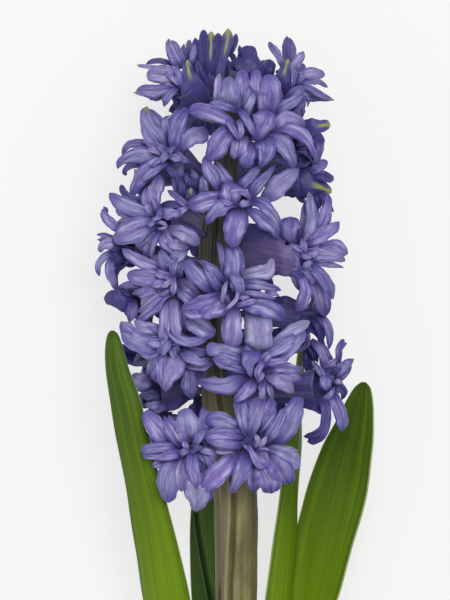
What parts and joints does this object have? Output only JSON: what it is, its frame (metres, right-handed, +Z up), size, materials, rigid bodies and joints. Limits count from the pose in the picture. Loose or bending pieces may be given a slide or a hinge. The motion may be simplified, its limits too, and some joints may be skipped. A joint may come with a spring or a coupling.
{
  "type": "hyacinth flower",
  "caption": "Double hyacinth flower spike on a fleshy stalk with strap leaves, picked and lying on its back.",
  "frame": {"origin": "middle of the footprint, on the surface that the flower lies on", "axes": "+Y along the stalk towards the top of the spike, +X across the flower to its right, +Z up from the surface"},
  "size_m": [0.087, 0.2542, 0.0621],
  "materials": {
    "petal": "soft velvety petals, lavender blue with violet midribs and margins, a darker plum tube and yellow-green keels near the tips",
    "stalk": "waxy olive-brown stalk with low ridges, dull green higher up",
    "leaf": "smooth waxy bright green with fine parallel veins and darker edges",
    "leaf_dark": "waxy dark green in shade, with fine parallel veins"
  },
  "bodies": {
    "root": {"scape": "stalk", "leaf_left": "leaf", "leaf_right": "leaf", "leaf_right_narrow": "leaf", "leaf_back": "leaf_dark", "floret_front_1": "petal", "floret_front_2": "petal", "floret_front_3": "petal", "floret_front_4": "petal", "floret_front_5": "petal", "floret_left_1": "petal", "floret_left_2": "petal", "floret_left_3": "petal", "floret_left_4": "petal", "floret_left_5": "petal", "floret_left_6": "petal", "floret_far_left_1": "petal", "floret_far_left_2": "petal", "floret_far_left_3": "petal", "floret_right_1": "petal", "floret_right_2": "petal", "floret_right_3": "petal", "floret_right_4": "petal", "floret_right_5": "petal", "floret_right_6": "petal", "floret_top_1": "petal", "floret_top_2": "petal", "bud_half_open": "petal", "floret_back_01": "petal", "floret_back_02": "petal", "floret_back_03": "petal", "floret_back_04": "petal", "floret_back_05": "petal", "floret_back_06": "petal", "floret_back_07": "petal", "floret_back_08": "petal", "floret_back_09": "petal", "floret_back_10": "petal", "floret_back_11": "petal", "floret_back_12": "petal", "floret_back_13": "petal", "floret_back_14": "petal", "floret_back_15": "petal"}
  },
  "joints": []
}
